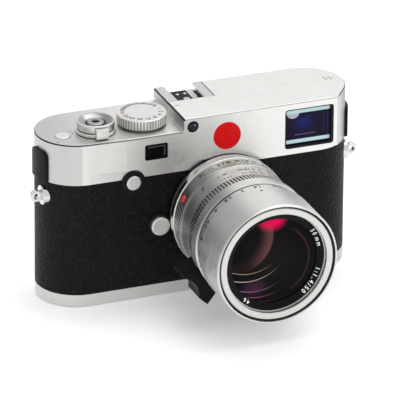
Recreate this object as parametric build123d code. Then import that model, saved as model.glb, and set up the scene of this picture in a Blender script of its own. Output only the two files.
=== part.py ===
"""Digital rangefinder camera with a 50 mm lens: one STEP file per separate piece.

Frame: X = 0 and Z = 36.4 is the lens axis, the front faces -Y, +Z is up, and Z = 0 is the
underside of the base plate. The origin is the mouth of the tripod socket. All sizes are millimetres.
"""

import os
from math import acos, atan2, copysign, cos, degrees, hypot, pi, radians, sin

from build123d import *

# ---------------------------------------------------------------- driving dimensions
BODY_LEFT = -77.7  # plan of the body: a slot shape with full-round ends
BODY_RIGHT = 60.9
BODY_DEPTH = 35.2
BASE_TOP = 5.6  # base plate below this height
LEATHER_TOP = 56.2  # leatherette from the base plate up to here
DECK = 74.7  # flat deck that carries the controls
HUMP_TOP = 80.0
HUMP_LEFT = -18.5  # left face of the raised finder housing
BULGE = 0.9  # the finder front stands this far ahead of the leatherette
BULGE_RIGHT = 51.4  # front right corner of the finder front
FADE = 16.0  # length over which it grows out of the left end
STEP_LEFT = 60.4  # lower edge of the finder front, left of the lens
STEP_RIGHT = 57.7  # and right of the lens
LEATHER = 0.6  # thickness of the leatherette
CAST_WALL = 1.6  # wall of the die-cast chassis
COVER_WALL = 1.5  # wall of the brass top cover
EDGE = 0.45  # small rounding on visible metal edges

LENS_Z = 36.4  # height of the lens axis
THROAT_R = 22.2  # free radius through the body's bayonet
COLLAR_R = 24.9
COLLAR_FRONT = -22.0
FLANGE_R = 25.7
FLANGE = -24.9  # face that the lens seats on
RUN = 0.05  # running clearance on a radius
GAP = 0.15  # clearance around a button or a lever

FINDER_X, FINDER_Z = 38.4, 68.2
FINDER_W, FINDER_H = 22.1, 17.9
RANGE_X, RANGE_Z = -30.85, 67.3
RANGE_W, RANGE_H = 10.2, 7.0
SENSOR_X, SENSOR_Z, SENSOR_R = -14.5, 76.2, 2.45
BADGE_X, BADGE_Z, BADGE_R = 0.9, 69.9, 6.14

ASSIST_X, ASSIST_Z, ASSIST_R = -40.9, 54.35, 3.25
UNLOCK_X, UNLOCK_Z, UNLOCK_R = -29.2, 33.0, 4.1
BEZEL_R = 5.4  # black bezel around each front button

SPEED_X, SPEED_Y, SPEED_R = -32.0, -3.8, 10.6
SPEED_FLUTES = 48
RELEASE_X, RELEASE_Y, COLLAR_RING_R = -53.1, -5.0, 8.0
RELEASE_R, CABLE_R = 3.7, 1.55
LEVER_R = 8.6
MOVIE_X, MOVIE_Y, MOVIE_R = -67.85, -5.3, 3.2

SHOE_LEFT, SHOE_RIGHT, SHOE_FRONT = -18.05, 2.6, 0.7
SHOE_FLOOR = 77.0
SHOE_SLOT = 18.6  # width of the slot for an accessory foot
SHOE_MOUTH = 12.6  # width between the two rails
RAIL_BOTTOM = 79.1
LIP = 0.45  # black insulating lip on each side of the shoe

LUG_Y, LUG_Z = -5.0, 49.1
LUG_RIGHT = 63.0  # centre of the right strap eye
LUG_LEFT = BODY_LEFT + BODY_RIGHT - LUG_RIGHT
LUG_R, LUG_HOLE_R = 2.6, 1.45
LUG_BOSS_R = 4.3
GUARD_Y, GUARD_W = -3.2, 11.0
BATTERY_LEFT, BATTERY_RIGHT = -71.8, -34.0

EYE_X, EYE_Z, EYE_R = 46.2, 68.0, 7.9
DISPLAY_X, DISPLAY_Z = 4.6, 30.9
DISPLAY_W, DISPLAY_H = 65.4, 47.0
PANEL_LEFT, PANEL_RIGHT, PANEL_DEPTH = -29.0, 53.6, 4.0
KEY_X, KEY_W, KEY_H = 46.6, 8.6, 4.8
KEY_PITCH = 7.9
KEY_NAMES = [
    "live_view_button",
    "play_button",
    "delete_button",
    "sensitivity_button",
    "menu_button",
    "set_button",
]
PAD_X, PAD_Z, PAD_R = -47.8, 31.0, 9.6
PAD_HOLE_R = 4.0
PAD_FLOOR = 13.2  # bottom of the cup behind the pad
PAD_PIVOT_Y, PAD_PIN_R = 15.4, 0.7  # the pad tilts on a cross pin
WHEEL_X, WHEEL_Y, WHEEL_Z, WHEEL_R = -54.0, 12.4, 65.6, 8.0
WHEEL_H, WHEEL_BORE = 4.6, 2.0
WHEEL_FLUTES = 40
MICROPHONE_HOLES = [(53.4, 2.7), (53.9, 0.95), (55.5, 2.5), (56.0, 0.8)]

LOCK_X, LOCK_R = 46.0, 8.0
SOCKET_R = 3.175  # nominal quarter-inch tripod thread

# lens, as distances along the axis: all stations are Y values and run towards -Y
LENS_SEAT = FLANGE - 0.05
BARREL_R, BARREL_FRONT = 25.4, -33.0
GRIP_MIDDLE, GRIP_PITCH, GRIP_GROOVES = 90.0, 4.6, 11  # degrees from the top, on each side
FOCUS_REAR, FOCUS_FRONT = -33.1, -53.0
SLEEVE_R, SLEEVE_BORE = 22.6, 21.3
APERTURE_REAR, APERTURE_FRONT = -53.8, -57.5
INNER_REAR = -19.0
HOOD_REAR, HOOD_FRONT, HOOD_R = -58.4, -78.9, 26.8
FRONT_TUBE_R = 25.04
THREAD_R = 22.25  # crest of the filter thread
SLOPE_REAR, SLOPE_FRONT = -41.5, -48.2  # the fluted grip swells between these stations
FOCUS_FLUTES = 108
NAME_RING_R, NAME_RING_REAR, NAME_RING_FRONT = 21.9, -74.0, -76.2
GLASS_R = 20.05
BORE_FRONT_R, BORE_R, REAR_BORE_R = 20.1, 19.3, 17.5
TAB_REACH = 33.6
TAB_ANGLE, TAB_HALF = 127.0, 15.0  # the finger tab, anticlockwise from the top seen from the front
SCOOP_ANGLE = 123.0  # middle of the hollow for the fingertip
BLADES = 9
BLADE_PIVOT_R = 16.9
BLADE_INNER_R, BLADE_OUTER_R = 15.5, 19.2  # each blade lies in this band when the iris is open
BLADE_FIRST = -45.4  # station of the rearmost iris blade
BLADE_PITCH = 0.25
BLADE_THICKNESS = 0.15

ARM_X, ARM_Y = 15.5, -6.6  # pivot of the rangefinder follower
ARM_PIN_R = 1.4
ROLLER_Y, ROLLER_R = INNER_REAR + 2.3, 2.2

HALF = BODY_DEPTH / 2
MID_X = (BODY_LEFT + BODY_RIGHT) / 2
END_LEFT = BODY_LEFT + HALF
END_RIGHT = BODY_RIGHT - HALF
FRONT = -(HALF + BULGE)  # plane of the finder front


# ---------------------------------------------------------------- helpers
def stadium(inset=0.0):
    """Plan outline of the body, moved inwards by inset."""
    return Pos(MID_X, 0) * SlotOverall(BODY_RIGHT - BODY_LEFT - 2 * inset, BODY_DEPTH - 2 * inset)


def slab(plan, low, high):
    """A plan outline raised from one height to another."""
    return extrude(Plane.XY.offset(low) * plan, high - low)


def block(x, y, z):
    """A box from three (low, high) pairs."""
    size = [high - low for low, high in (x, y, z)]
    centre = [(high + low) / 2 for low, high in (x, y, z)]
    return Pos(*centre) * Box(*size)


def facing_front(x, y, z):
    """A plane whose normal points to the front, with +X to the right and +Z up."""
    return Plane(origin=(x, y, z), x_dir=(1, 0, 0), z_dir=(0, -1, 0))


def stud(x, z, radius, y_rear, y_front, bore=0.0):
    """A cylinder or tube along Y between two stations."""
    plan = Circle(radius) - Circle(bore) if bore else Circle(radius)
    return extrude(facing_front(x, y_rear, z) * plan, y_rear - y_front)


def ring(radius, bore, y_rear, y_front):
    """A ring about the lens axis."""
    return stud(0, LENS_Z, radius, y_rear, y_front, bore)


def plate(x, z, width, height, corner, y_rear, y_front):
    """A plate facing the front with rounded corners."""
    return extrude(facing_front(x, y_rear, z) * RectangleRounded(width, height, corner), y_rear - y_front)


def post(x, y, radius, low, high, bore=0.0):
    """A cylinder or tube along Z."""
    plan = Circle(radius) - Circle(bore) if bore else Circle(radius)
    return slab(Pos(x, y) * plan, low, high)


def turned(points):
    """A solid of revolution about the lens axis from (radius, Y) points."""
    outline = Polyline(*[(r, y, LENS_Z) for r, y in points], close=True)
    return revolve(make_face(outline), Axis((0, 0, LENS_Z), (0, 1, 0)))


def around_lens(part, angle):
    """The part turned about the lens axis, in degrees, anticlockwise seen from the front."""
    return Pos(0, 0, LENS_Z) * Rot(0, -angle, 0) * Pos(0, 0, -LENS_Z) * part


def flutes(x, y, reach, notch_r, count, low, high):
    """Upright cylinders in a circle, for cutting the finger grip of a knob."""
    notch = Pos(reach, 0, (low + high) / 2) * Cylinder(notch_r, high - low)
    return [Pos(x, y) * Rot(0, 0, 360 * index / count) * notch for index in range(count)]


def circle_edges(part, radius):
    """Full-circle edges of one radius, for rounding them over."""
    arcs = part.edges().filter_by(GeomType.CIRCLE).filter_by(lambda e: abs(e.radius - radius) < 0.01)
    return arcs.filter_by(lambda e: abs(e.length - 2 * pi * radius) < 0.01)


# ---------------------------------------------------------------- body shell
def front_outline():
    """Plan of the finder front: it fades in from the left end and meets the right end in a facet."""
    from_end = BULGE_RIGHT - END_RIGHT
    angle = atan2(FRONT, from_end) + acos(HALF / hypot(from_end, FRONT))
    tangent = (END_RIGHT + HALF * cos(angle), HALF * sin(angle))
    fade_in = [(END_LEFT, 0), (END_LEFT, -HALF), (END_LEFT + FADE, FRONT)]
    right_end = [(BULGE_RIGHT, FRONT), tangent, (END_RIGHT, 0)]
    return make_face(Polyline(*fade_in, *right_end, close=True))


def cover_blank():
    """The top cover before it is hollowed and pierced."""
    step_left = front_outline() & Pos(-50, 0) * Rectangle(100, 100)
    lower = slab(stadium(), LEATHER_TOP, DECK)
    lower += slab(step_left, STEP_LEFT, DECK)
    lower += slab(front_outline() - step_left, STEP_RIGHT, DECK)
    lower = fillet(lower.edges().group_by(Axis.Z)[-1], EDGE)
    right_of_hump = Pos(HUMP_LEFT + 100, 0) * Rectangle(200, 100)
    hump_plan = (stadium() + front_outline()) & right_of_hump
    hump = slab(hump_plan, DECK - 2, HUMP_TOP)
    hump = fillet(hump.edges().group_by(Axis.Z)[-1], EDGE)
    return lower + hump


def make_top_cover():
    cover = cover_blank()
    inner = stadium(COVER_WALL)
    shoe_right = SHOE_RIGHT + LIP
    cover -= slab(inner, LEATHER_TOP - 1, DECK - COVER_WALL)
    beside_shoe = Pos(shoe_right + COVER_WALL + 50, 0) * Rectangle(100, 100)
    ahead_of_shoe = Pos(HUMP_LEFT + COVER_WALL + 50, SHOE_FRONT - COVER_WALL - 50) * Rectangle(100, 100)
    cover -= slab(inner & (beside_shoe + ahead_of_shoe), DECK - 3, HUMP_TOP - COVER_WALL)
    cover -= block((HUMP_LEFT - 1, shoe_right), (SHOE_FRONT, HALF + 1), (SHOE_FLOOR - 0.8, HUMP_TOP + 1))
    cover -= stud(0, LENS_Z, COLLAR_R + 0.1, -HALF + 4, -HALF - 4)
    cover -= plate(FINDER_X, FINDER_Z, FINDER_W + 0.1, FINDER_H + 0.1, 1.3, -12, -25)
    cover -= plate(RANGE_X, RANGE_Z, RANGE_W + 0.1, RANGE_H + 0.1, 0.9, -12, -25)
    cover -= stud(SENSOR_X, SENSOR_Z, SENSOR_R + 0.1, -12, -25)
    cover -= stud(BADGE_X, BADGE_Z, BADGE_R - 1.5, -14, -25)
    cover -= stud(ASSIST_X, ASSIST_Z, BEZEL_R + 0.05, -14, -25)
    cover -= stud(EYE_X, EYE_Z, EYE_R + 0.05, 25, 12)
    cover -= post(SPEED_X, SPEED_Y, 2.0 + RUN, DECK - 5, DECK + 1)
    cover -= post(RELEASE_X, RELEASE_Y, 5.4 + RUN, DECK - 5, DECK + 1)
    cover -= post(MOVIE_X, MOVIE_Y, MOVIE_R + GAP, DECK - 5, DECK + 1)
    cover += make_thumb_rest()
    cover -= post(WHEEL_X, WHEEL_Y, WHEEL_R + 0.3, WHEEL_Z - WHEEL_H / 2 - 0.4, WHEEL_Z + WHEEL_H / 2 + 0.4)
    cover += post(WHEEL_X, WHEEL_Y, WHEEL_BORE - RUN, WHEEL_Z - WHEEL_H / 2, DECK - 1)
    for x, y in MICROPHONE_HOLES:
        cover -= post(x, y, 0.32, HUMP_TOP - 3, HUMP_TOP + 1)
    return cover


def make_thumb_rest():
    """The swelling at the back that the thumb pushes against, around the thumbwheel."""
    pad = Plane(origin=(WHEEL_X + 6.5, HALF - COVER_WALL, WHEEL_Z), x_dir=(-1, 0, 0), z_dir=(0, 1, 0))
    rest = extrude(pad * RectangleRounded(27, 12.4, 5), COVER_WALL + 1.6)
    outer = rest.faces().sort_by(Axis.Y)[-1].edges()
    return fillet(outer, 1.2)


def panel_outline():
    """Plan of the thick stretch of wall at the back, behind the display and the keys."""
    middle = (PANEL_LEFT + PANEL_RIGHT) / 2
    return Pos(middle, HALF) * Rectangle(PANEL_RIGHT - PANEL_LEFT, 2 * PANEL_DEPTH)


def make_chassis():
    """Die-cast body shell with the lens collar at the front and the key panel at the back."""
    shell = slab(stadium(LEATHER), BASE_TOP, LEATHER_TOP)
    shell += slab(stadium() & panel_outline(), BASE_TOP, LEATHER_TOP)
    shell -= slab(stadium(LEATHER + CAST_WALL), BASE_TOP + 1.8, LEATHER_TOP + 1)
    shell += ring(COLLAR_R, THROAT_R, -HALF + 3, COLLAR_FRONT)
    shell -= stud(0, LENS_Z, THROAT_R, -HALF + 3.5, -30)
    shell -= plate(DISPLAY_X, DISPLAY_Z, DISPLAY_W + 0.1, DISPLAY_H + 0.1, 1.6, HALF + 1, HALF - 1.5)
    for index in range(len(KEY_NAMES)):
        key_z = key_height(index)
        shell -= plate(KEY_X, key_z, KEY_W + 2 * GAP, KEY_H + 2 * GAP, 1.7, HALF + 1, HALF - 5)
        shell -= plate(KEY_X, key_z, KEY_W + 1.9, KEY_H + 1.9, 1.9, HALF - 2.4, HALF - 5)
    shell += stud(PAD_X, PAD_Z, PAD_R + 1.9, HALF - 1, PAD_FLOOR - 1.2)
    shell -= stud(PAD_X, PAD_Z, PAD_R + 0.5, HALF + 1, PAD_FLOOR)
    shell -= Pos(PAD_X, PAD_PIVOT_Y, PAD_Z) * Rot(0, 90, 0) * Cylinder(PAD_PIN_R + RUN, 2 * PAD_R + 3.4)
    shell -= stud(UNLOCK_X, UNLOCK_Z, BEZEL_R + 0.05, -HALF + 4, -HALF - 1)
    shell -= stud(ASSIST_X, ASSIST_Z, BEZEL_R + 0.05, -HALF + 4, -HALF - 1)
    for x in (BODY_LEFT, BODY_RIGHT):
        shell -= Pos(x, LUG_Y, LUG_Z) * Rot(0, 90, 0) * Cylinder(LUG_BOSS_R + RUN, 12)
    shell -= block((BATTERY_LEFT - 0.4, BATTERY_RIGHT + 0.4), (-8.2, 8.2), (BASE_TOP - 1, BASE_TOP + 3))
    shell -= post(0, 0, 6.0, BASE_TOP - 1, BASE_TOP + 3)
    return shell


def key_height(index):
    return DISPLAY_Z + KEY_PITCH * (2.5 - index)


def make_leatherette():
    skin = slab(stadium() - stadium(LEATHER), BASE_TOP, LEATHER_TOP)
    skin -= stud(0, LENS_Z, COLLAR_R + 0.1, -HALF + 4, -HALF - 4)
    skin -= stud(UNLOCK_X, UNLOCK_Z, BEZEL_R + 0.1, -HALF + 4, -HALF - 4)
    skin -= stud(ASSIST_X, ASSIST_Z, BEZEL_R + 0.1, -HALF + 4, -HALF - 4)
    skin -= slab(panel_outline(), BASE_TOP - 1, LEATHER_TOP + 1)
    skin -= stud(PAD_X, PAD_Z, PAD_R + 0.5, HALF + 4, HALF - 4)
    for x in (BODY_LEFT, BODY_RIGHT):
        skin -= Pos(x, LUG_Y, LUG_Z) * Rot(0, 90, 0) * Cylinder(LUG_BOSS_R + RUN, 12)
    return skin


def make_base_plate():
    plate_body = slab(stadium(), 0, BASE_TOP)
    plate_body = fillet(plate_body.edges().group_by(Axis.Z)[0], 0.7)
    plate_body -= slab(stadium(1.3), 1.2, BASE_TOP + 1)
    plate_body -= post(0, 0, 6.9, -1, 3)
    plate_body -= post(LOCK_X, 0, LOCK_R + RUN, -1, 3)
    for x in (-70.0, -30.0):
        plate_body += block((x - 0.5, x + 0.5), (-12, 12), (1.2, 3.6))
    return plate_body


def make_strap_lugs():
    """A round boss in each end of the body with a flat upright eye for the strap ring."""
    lugs = []
    for eye_x, end_x, side in ((LUG_LEFT, BODY_LEFT, -1), (LUG_RIGHT, BODY_RIGHT, 1)):
        surface = end_x - side * (HALF - (HALF**2 - LUG_Y**2) ** 0.5)
        boss = Pos(surface - side * 1.2, LUG_Y, LUG_Z) * Rot(0, 90, 0) * Cylinder(LUG_BOSS_R, 4.0)
        outer = boss.edges().filter_by(GeomType.CIRCLE).sort_by(Axis.X)[-1 if side > 0 else 0]
        boss = fillet(outer, 0.5)
        neck_length = abs(eye_x - surface)
        neck_mid = (eye_x + surface) / 2
        neck = Pos(neck_mid, LUG_Y, LUG_Z) * Box(neck_length, 2.6, 3.4)
        eye = stud(eye_x, LUG_Z, LUG_R, LUG_Y + 1.3, LUG_Y - 1.3)
        eye = fillet(eye.edges().filter_by(GeomType.CIRCLE), 0.5)
        lug = boss + neck + eye - stud(eye_x, LUG_Z, LUG_HOLE_R, LUG_Y + 3, LUG_Y - 3)
        lugs.append(lug)
    return Compound(children=lugs)


def make_strap_guards():
    """Black guards above the lugs that keep strap rings off the top cover."""
    band = slab(stadium(-1.3) - stadium() - front_outline(), LEATHER_TOP + 0.2, LEATHER_TOP + 13.4)
    guards = []
    for x in (BODY_LEFT, BODY_RIGHT):
        view = Plane(origin=(x - 15, GUARD_Y, LEATHER_TOP + 4.9), x_dir=(0, 1, 0), z_dir=(1, 0, 0))
        window = extrude(view * RectangleRounded(GUARD_W, 17, 3.0), 30)
        guard = band & window
        guards.append(guard)
    return Compound(children=guards)


# ---------------------------------------------------------------- fixed pieces on the shell
def make_body_bayonet():
    """Seat for the lens, with three inner lips that hold the lens's lugs."""
    seat = ring(FLANGE_R, THROAT_R, COLLAR_FRONT, FLANGE)
    seat = fillet(circle_edges(seat, FLANGE_R).sort_by(Axis.Y)[0], 0.5)
    lips = ring(THROAT_R + 0.2, 20.6, FLANGE + 1.5, FLANGE)
    for index in range(3):
        gap = Pos(0, FLANGE, LENS_Z) * Rot(0, 120 * index + 60, 0) * wedge(32)
        lips -= gap
    return seat + lips


def wedge(half_angle):
    """A wide wedge about the Y axis, centred on +Z, for cutting gaps in rings."""
    reach = 60
    side = reach * sin(radians(half_angle))
    rise = reach * cos(radians(half_angle))
    face = make_face(Polyline((0, 0, 0), (-side, 0, rise), (side, 0, rise), close=True))
    return extrude(face, 20, dir=(0, 1, 0), both=True)


def make_button_bezels():
    bezels = []
    for x, z, radius in ((ASSIST_X, ASSIST_Z, ASSIST_R), (UNLOCK_X, UNLOCK_Z, UNLOCK_R)):
        bezel = stud(x, z, BEZEL_R, -HALF + 3.4, -HALF - 0.9, radius + GAP)
        bezel = fillet(circle_edges(bezel, BEZEL_R).sort_by(Axis.Y)[0], 0.4)
        bezels.append(bezel)
    return Compound(children=bezels)


def make_finder_bezel():
    bezel = plate(FINDER_X, FINDER_Z, FINDER_W, FINDER_H, 1.25, -13.5, FRONT + 0.15)
    return bezel - plate(FINDER_X - 0.3, FINDER_Z + 0.3, FINDER_W - 1.6, FINDER_H - 1.4, 0.9, -13, -25)


def make_finder_window():
    return plate(FINDER_X - 0.3, FINDER_Z + 0.3, FINDER_W - 1.7, FINDER_H - 1.5, 0.85, -15.6, -17.4)


def make_range_window():
    return plate(RANGE_X, RANGE_Z, RANGE_W, RANGE_H, 0.85, -15.4, FRONT + 0.35)


def make_light_sensor():
    stem = stud(SENSOR_X, SENSOR_Z, SENSOR_R, -14.5, FRONT + 0.1)
    dome = Pos(SENSOR_X, FRONT + 5.0, SENSOR_Z) * Sphere(5.45)
    front_half = stud(SENSOR_X, SENSOR_Z, SENSOR_R - 0.4, FRONT + 0.5, FRONT - 2)
    return stem + (dome & front_half)


def make_front_badge():
    """A plain enamel disc, slightly domed, with a stem through the cover."""
    disc = stud(BADGE_X, BADGE_Z, BADGE_R, FRONT, FRONT - 0.7)
    disc = fillet(circle_edges(disc, BADGE_R).sort_by(Axis.Y)[0], 0.35)
    return disc + stud(BADGE_X, BADGE_Z, 1.6, -15.5, FRONT - 0.2)


def make_accessory_shoe():
    """Steel shoe: floor, two side walls and two rails that hold an accessory foot."""
    middle = (SHOE_LEFT + SHOE_RIGHT) / 2
    back = HALF - 0.1
    shoe = block((SHOE_LEFT, SHOE_RIGHT), (SHOE_FRONT, back), (SHOE_FLOOR - 0.3, HUMP_TOP))
    slot = (middle - SHOE_SLOT / 2, middle + SHOE_SLOT / 2)
    mouth = (middle - SHOE_MOUTH / 2, middle + SHOE_MOUTH / 2)
    shoe -= block(slot, (SHOE_FRONT + 0.6, back + 1), (SHOE_FLOOR, RAIL_BOTTOM))
    shoe -= block(mouth, (SHOE_FRONT + 0.6, back + 1), (SHOE_FLOOR, HUMP_TOP + 1))
    rail_ends = shoe.edges().filter_by(Axis.Z).filter_by_position(Axis.Y, back - 0.1, back + 0.1)
    inner_ends = [e for e in rail_ends if abs(e.center().X - middle) < SHOE_MOUTH / 2 + 0.1]
    shoe = fillet([e for e in inner_ends if e.center().Z > RAIL_BOTTOM - 0.5], 0.7)
    pad = (middle - 3.5, middle + 3.5)
    shoe -= block(pad, (SHOE_FRONT + 1.3, back - 0.3), (SHOE_FLOOR - 1, SHOE_FLOOR + 0.5))
    for side in (-1, 1):
        pocket = middle + side * 7.7
        shoe -= block((pocket - 1.7, pocket + 1.7), (6.0, 15.6), (SHOE_FLOOR - 1, SHOE_FLOOR + 0.5))
    return shoe


def make_shoe_insulator():
    """Black bed under the shoe that carries the flash contacts and shows as a line beside each rail."""
    middle = (SHOE_LEFT + SHOE_RIGHT) / 2
    back = HALF - 0.1
    low = SHOE_FLOOR - 0.8
    bed = block((SHOE_LEFT - LIP, SHOE_RIGHT + LIP), (SHOE_FRONT, back), (low, SHOE_FLOOR - 0.3))
    for x in (SHOE_LEFT - LIP, SHOE_RIGHT):
        bed += block((x, x + LIP), (SHOE_FRONT, back), (low, HUMP_TOP - 0.25))
    pad = block((middle - 3.4, middle + 3.4), (SHOE_FRONT + 1.4, back - 0.4), (low, SHOE_FLOOR + 0.12))
    for index in range(3):
        pad -= post(middle - 2.2 + 2.2 * index, back - 0.2, 0.75, SHOE_FLOOR - 0.3, SHOE_FLOOR + 1)
    bed += pad
    for side in (-1, 1):
        pocket = middle + side * 7.7
        bed += block((pocket - 1.6, pocket + 1.6), (6.1, 15.5), (low, SHOE_FLOOR - 0.05))
    return bed


def make_eyepiece_ring():
    """Threaded eyepiece mount at the back; correction lenses screw into it."""
    mount = stud(EYE_X, EYE_Z, EYE_R, HALF + 3.0, HALF - 5.0)
    mount = fillet(circle_edges(mount, EYE_R).sort_by(Axis.Y)[-1], 0.5)
    mount -= stud(EYE_X, EYE_Z, 6.5, HALF + 4.0, HALF - 0.4)
    return mount - stud(EYE_X, EYE_Z, 5.2, HALF + 4.0, HALF - 6.0)


def make_eyepiece_glass():
    return stud(EYE_X, EYE_Z, 5.2 - 0.02, HALF - 1.0, HALF - 3.4)


def make_display_glass():
    return plate(DISPLAY_X, DISPLAY_Z, DISPLAY_W, DISPLAY_H, 1.5, HALF + 0.1, HALF - 1.4)


def make_tripod_socket():
    socket = post(0, 0, 5.8, 0, BASE_TOP + 4.0)
    socket += post(0, 0, 8.0, BASE_TOP + 1.85, BASE_TOP + 4.0)
    socket = chamfer(circle_edges(socket, 5.8).sort_by(Axis.Z)[0], 0.3)
    return socket - post(0, 0, SOCKET_R, -1, 7.0)


# ---------------------------------------------------------------- inner pieces
def make_image_sensor():
    return block((-21.5, 21.5), (2.9, 5.6), (LENS_Z - 15.5, LENS_Z + 15.5))


def make_shutter_unit():
    unit = block((-31, 31), (-4.2, 2.6), (16.0, 55.6))
    return unit - block((-18.4, 18.4), (-6, 4), (LENS_Z - 12.4, LENS_Z + 12.4))


def make_main_board():
    board = block((-29, 40), (6.4, 8.0), (10, 54.5))
    for x, z, size in ((-10, 40, 14), (10, 25, 17), (-20, 22, 9), (28, 40, 9)):
        board += block((x - size / 2, x + size / 2), (7.5, 9.4), (z - size / 2, z + size / 2))
    return board


def make_battery():
    cell = block((BATTERY_LEFT, BATTERY_RIGHT), (-7.8, 7.8), (BASE_TOP + 0.2, 53.0))
    return fillet(cell.edges().filter_by(Axis.Z), 1.5)


def make_rangefinder_block():
    """Prism block behind the finder window, the beam tube to the small window and the follower's bracket."""
    prism = block((27.5, 49.5), (-13.2, -2.0), (60.5, 76.5))
    tube = block((RANGE_X - 4.5, 27.2), (-15.0, -7.5), (63.6, 71.4))
    tube += block((27, 28), (-13.0, -7.5), (63.6, 71.4))
    eyepiece_tube = stud(EYE_X - 0.2, EYE_Z, 5.0, 12.4, -3.0)
    bracket = block((ARM_X - 3, 30), (ARM_Y - 3, ARM_Y + 3), (58.0, 60.6))
    hole = post(ARM_X, ARM_Y, ARM_PIN_R + RUN, 57, 62)
    return prism + tube + eyepiece_tube + bracket - hole


def make_rangefinder_arm():
    """Follower whose roller rides on the end of the lens cam."""
    roller = post(0, ROLLER_Y, ROLLER_R, 52.6, 54.9)
    length = hypot(ARM_X, ARM_Y - ROLLER_Y)
    angle = degrees(atan2(ARM_Y - ROLLER_Y, ARM_X))
    bar = Pos(ARM_X / 2, (ARM_Y + ROLLER_Y) / 2) * Rot(0, 0, angle) * SlotCenterToCenter(length, 3.6)
    arm = slab(bar, 50.8, 52.4) + post(0, ROLLER_Y, 0.8, 50.8, 53)
    return arm + roller + post(ARM_X, ARM_Y, ARM_PIN_R, 50.2, 60.4)


# ---------------------------------------------------------------- controls on the top
def make_release_collar():
    """Dished collar around the release button; its stem passes through the cover."""
    collar = post(RELEASE_X, RELEASE_Y, COLLAR_RING_R, 76.75, DECK + 5.2)
    collar = fillet(circle_edges(collar, COLLAR_RING_R).sort_by(Axis.Z)[-1], 0.5)
    collar += post(RELEASE_X, RELEASE_Y, 5.4, DECK - 3, 76.9)
    dish_r = 11.0
    collar -= Pos(RELEASE_X, RELEASE_Y, DECK + 5.2 + dish_r - 2.3) * Sphere(dish_r)
    return collar - post(RELEASE_X, RELEASE_Y, RELEASE_R + GAP, DECK - 4, DECK + 8)


def make_power_lever():
    """Main switch: a ring under the collar with a ribbed tab in front."""
    lever = post(RELEASE_X, RELEASE_Y, LEVER_R, 74.95, 76.35)
    lever = fillet(circle_edges(lever, LEVER_R), 0.3)
    tab_x = RELEASE_X - 0.5
    tab = block((tab_x - 2.8, tab_x + 2.8), (-15.4, -12.0), (75.15, 79.1))
    tab = fillet(tab.edges().filter_by(Axis.Z).group_by(Axis.Y)[0], 0.4)
    tab -= post(RELEASE_X, RELEASE_Y, COLLAR_RING_R + 0.25, 76.4, 80)
    for index in range(4):
        tab -= post(tab_x - 2.1 + 1.4 * index, -15.75, 0.52, 75, 80)
    lever += tab
    return lever - post(RELEASE_X, RELEASE_Y, 5.4 + RUN, 74, 78)


def make_release_button():
    """Release with a threaded hole for a cable release and a collar that keeps it in the cover."""
    top = DECK + 4.5
    button = post(RELEASE_X, RELEASE_Y, RELEASE_R, DECK - 4.5, top)
    button = fillet(circle_edges(button, RELEASE_R).sort_by(Axis.Z)[-1], 0.7)
    button += post(RELEASE_X, RELEASE_Y, RELEASE_R + 1.0, DECK - 4.5, DECK - 3.3)
    button -= Pos(RELEASE_X, RELEASE_Y, top - 0.1) * Cone(CABLE_R, CABLE_R + 0.2, 1.0)
    return button - post(RELEASE_X, RELEASE_Y, CABLE_R, top - 4.0, top + 1)


def make_speed_dial():
    """Shutter speed dial with a finely fluted rim."""
    low, high = DECK + 0.85, DECK + 5.25
    dial = post(SPEED_X, SPEED_Y, SPEED_R, low, high)
    dial = chamfer(circle_edges(dial, SPEED_R).sort_by(Axis.Z)[-1], 0.35)
    dial -= flutes(SPEED_X, SPEED_Y, SPEED_R + 0.2, 0.5, SPEED_FLUTES, low - 1, high - 0.45)
    skirt = post(SPEED_X, SPEED_Y, SPEED_R - 1.2, DECK + 0.1, low)
    return dial + skirt + post(SPEED_X, SPEED_Y, 2.0, DECK - 4, low)


def make_movie_button():
    """Nearly flush button at the left end of the deck."""
    button = post(MOVIE_X, MOVIE_Y, MOVIE_R, DECK - 3, DECK + 0.35)
    button = fillet(circle_edges(button, MOVIE_R).sort_by(Axis.Z)[-1], 0.3)
    return button + post(MOVIE_X, MOVIE_Y, MOVIE_R + 0.8, DECK - 3, DECK - 2)


def make_thumbwheel():
    low, high = WHEEL_Z - WHEEL_H / 2, WHEEL_Z + WHEEL_H / 2
    wheel = post(WHEEL_X, WHEEL_Y, WHEEL_R, low, high)
    wheel -= flutes(WHEEL_X, WHEEL_Y, WHEEL_R + 0.15, 0.4, WHEEL_FLUTES, low - 1, high + 1)
    return wheel - post(WHEEL_X, WHEEL_Y, WHEEL_BORE, low - 1, high + 1)


# ---------------------------------------------------------------- buttons on the front and the back
def make_front_button(x, z, radius, front):
    """A round button that sticks out of its bezel, kept in by a flange at its rear end."""
    rear = -HALF + 5
    button = stud(x, z, radius, rear, front)
    button = fillet(circle_edges(button, radius).sort_by(Axis.Y)[0], 0.55)
    return button + stud(x, z, radius + 0.9, rear, rear - 1.2)


def make_key(index):
    """One of the six keys beside the display."""
    key = plate(KEY_X, key_height(index), KEY_W, KEY_H, 1.6, HALF + 0.9, HALF - 3.4)
    outer = key.faces().sort_by(Axis.Y)[-1].edges()
    key = fillet(outer, 0.4)
    return key + plate(KEY_X, key_height(index), KEY_W + 1.6, KEY_H + 1.6, 1.8, HALF - 2.6, HALF - 3.4)


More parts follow.
